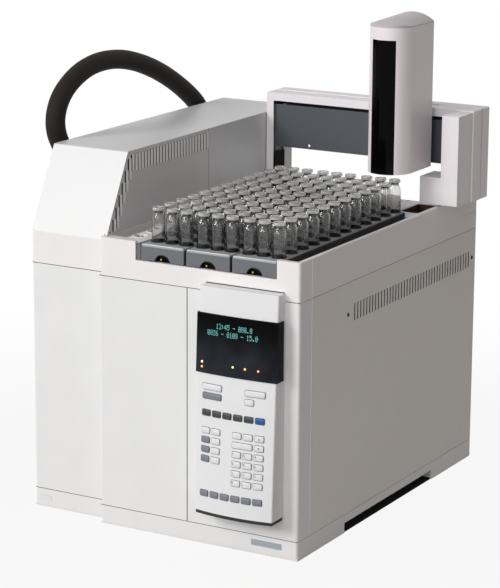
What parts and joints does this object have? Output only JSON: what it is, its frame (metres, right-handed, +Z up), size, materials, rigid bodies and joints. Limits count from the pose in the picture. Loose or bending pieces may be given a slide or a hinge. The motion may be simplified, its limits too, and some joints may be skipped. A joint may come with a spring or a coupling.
{
  "type": "headspace autosampler",
  "caption": "Benchtop headspace autosampler: vial racks on a deck, travelling gantry with a gripper tower, hooded oven module, keypad console and a heated transfer hose.",
  "frame": {"origin": "on the bench, under the middle of the bounds of everything but the transfer hose", "axes": "+Z up, the front with the keypad faces -Y, +X to the right of a person in front of it"},
  "size_m": [0.622, 0.7234, 0.844],
  "materials": {
    "cabinet_white": "satin",
    "panel_white": "satin",
    "side_grey": "satin",
    "hood_grey": "satin",
    "deck_grey": "satin",
    "rack_grey": "matte",
    "vial_glass": "clear",
    "black_plastic": "matte",
    "visor_black": "gloss",
    "console_grey": "satin",
    "key_white": "satin",
    "key_grey": "satin",
    "key_dark": "satin",
    "key_blue": "satin",
    "lamp": "gloss",
    "rubber_black": "matte",
    "hose_rubber": "satin",
    "steel": "brushed",
    "zinc_frame": "satin",
    "aluminium": "anodised",
    "black_aluminium": "satin",
    "beam_blue_grey": "satin",
    "gantry_white": "satin",
    "tower_white": "gloss",
    "smoked_window": "gloss"
  },
  "bodies": {
    "cabinet": {"base_pan": "cabinet_white", "levelling_feet": "rubber_black", "power_inlet": "black_plastic", "chassis_frame": "zinc_frame", "left_front_panel": "panel_white", "middle_front_panel": "panel_white", "right_front_panel": "panel_white", "right_side_panel": "side_grey", "left_side_panel": "side_grey", "rear_panel": "zinc_frame", "fan_frame": "black_plastic", "upper_body": "deck_grey", "rack_tray": "black_plastic", "priority_cups": "black_plastic", "oven_block": "steel", "leg_rails": "steel", "hood_front_cover": "hood_grey", "hood_rear_cover": "hood_grey", "keypad_console": "console_grey", "display_visor": "visor_black", "indicator_lamps": "lamp", "hose_holders": "black_plastic", "transfer_hose": "hose_rubber", "hose_fitting": "steel"},
    "power_key": {"power_key": "black_plastic"},
    "fan_rotor": {"fan_rotor": "black_plastic"},
    "left_rack": {"left_rack": "rack_grey", "left_rack_vials": "vial_glass"},
    "middle_rack": {"middle_rack": "rack_grey", "middle_rack_vials": "vial_glass"},
    "right_rack": {"right_rack": "rack_grey", "right_rack_vials": "vial_glass"},
    "select_keys": {"select_keys": "key_white"},
    "menu_keys": {"menu_keys": "key_dark"},
    "start_key": {"start_key": "key_blue"},
    "function_keys": {"function_keys": "key_grey"},
    "number_keys": {"number_keys": "key_white"},
    "gantry": {"gantry_front_cover": "gantry_white", "gantry_rear_cover": "gantry_white", "beam_panel": "beam_blue_grey", "gantry_bridge": "black_aluminium", "gantry_shoes": "black_plastic", "cross_rail": "steel", "cross_belt": "rubber_black", "end_housing": "gantry_white", "cross_motor": "black_aluminium"},
    "drive_pulley": {"drive_pulley": "aluminium"},
    "idler_pulley": {"idler_pulley": "aluminium"},
    "tower": {"tower_shell": "tower_white", "tower_roof": "tower_white", "tower_window": "smoked_window", "tower_backbone": "aluminium", "guide_rods": "steel", "lift_motor": "black_aluminium", "guard_pin": "black_plastic", "guard_spring": "steel"},
    "lead_screw": {"lead_screw": "steel"},
    "gripper": {"gripper_slide": "aluminium"},
    "front_jaw": {"front_jaw": "steel"},
    "rear_jaw": {"rear_jaw": "steel"}
  },
  "joints": [
    {"name": "gantry_travel", "type": "slide", "parent": "cabinet", "child": "gantry", "axis": [0, 1, 0], "range_m": [-0.45, 0.049]},
    {"name": "tower_travel", "type": "slide", "parent": "gantry", "child": "tower", "axis": [1, 0, 0], "range_m": [-0.2628, 0.019]},
    {"name": "gripper_lift", "type": "slide", "parent": "tower", "child": "gripper", "axis": [0, 0, 1], "range_m": [-0.125, 0.03]},
    {"name": "lead_screw_turn", "type": "hinge", "parent": "tower", "child": "lead_screw", "pos_m": [0.1973, 0.211, 0.6], "axis": [0, 0, 1], "continuous": true},
    {"name": "drive_pulley_turn", "type": "hinge", "parent": "gantry", "child": "drive_pulley", "pos_m": [0.293, 0.282, 0.639], "axis": [0, 1, 0], "continuous": true},
    {"name": "idler_pulley_turn", "type": "hinge", "parent": "gantry", "child": "idler_pulley", "pos_m": [-0.085, 0.282, 0.639], "axis": [0, 1, 0], "continuous": true},
    {"name": "front_jaw_close", "type": "slide", "parent": "gripper", "child": "front_jaw", "axis": [0, 1, 0], "range_m": [0, 0.003]},
    {"name": "rear_jaw_close", "type": "slide", "parent": "gripper", "child": "rear_jaw", "axis": [0, -1, 0], "range_m": [0, 0.003]},
    {"name": "left_rack_pull", "type": "slide", "parent": "cabinet", "child": "left_rack", "axis": [0, -1, 0], "range_m": [0, 0.3]},
    {"name": "middle_rack_pull", "type": "slide", "parent": "cabinet", "child": "middle_rack", "axis": [0, -1, 0], "range_m": [0, 0.3]},
    {"name": "right_rack_pull", "type": "slide", "parent": "cabinet", "child": "right_rack", "axis": [0, -1, 0], "range_m": [0, 0.3]},
    {"name": "power_key_press", "type": "slide", "parent": "cabinet", "child": "power_key", "axis": [0, 1, 0], "range_m": [0, 0.0015], "stiffness_N_per_m": 400, "springref_m": -0.001},
    {"name": "fan_spin", "type": "hinge", "parent": "cabinet", "child": "fan_rotor", "pos_m": [0.153, 0.346, 0.25], "axis": [0, 1, 0], "continuous": true},
    {"name": "select_keys_press", "type": "slide", "parent": "cabinet", "child": "select_keys", "axis": [0, 1, 0], "range_m": [0, 0.001], "stiffness_N_per_m": 500, "springref_m": -0.001},
    {"name": "menu_keys_press", "type": "slide", "parent": "cabinet", "child": "menu_keys", "axis": [0, 1, 0], "range_m": [0, 0.001], "stiffness_N_per_m": 500, "springref_m": -0.001},
    {"name": "start_key_press", "type": "slide", "parent": "cabinet", "child": "start_key", "axis": [0, 1, 0], "range_m": [0, 0.001], "stiffness_N_per_m": 500, "springref_m": -0.001},
    {"name": "function_keys_press", "type": "slide", "parent": "cabinet", "child": "function_keys", "axis": [0, 1, 0], "range_m": [0, 0.001], "stiffness_N_per_m": 500, "springref_m": -0.001},
    {"name": "number_keys_press", "type": "slide", "parent": "cabinet", "child": "number_keys", "axis": [0, 1, 0], "range_m": [0, 0.001], "stiffness_N_per_m": 500, "springref_m": -0.001}
  ],
  "couplings": [
    {"joint": "lead_screw_turn", "follows": "gripper_lift", "rad_per_m": 628.32},
    {"joint": "drive_pulley_turn", "follows": "tower_travel", "rad_per_m": 125},
    {"joint": "idler_pulley_turn", "follows": "tower_travel", "rad_per_m": 125},
    {"joint": "rear_jaw_close", "follows": "front_jaw_close", "ratio": 1}
  ]
}
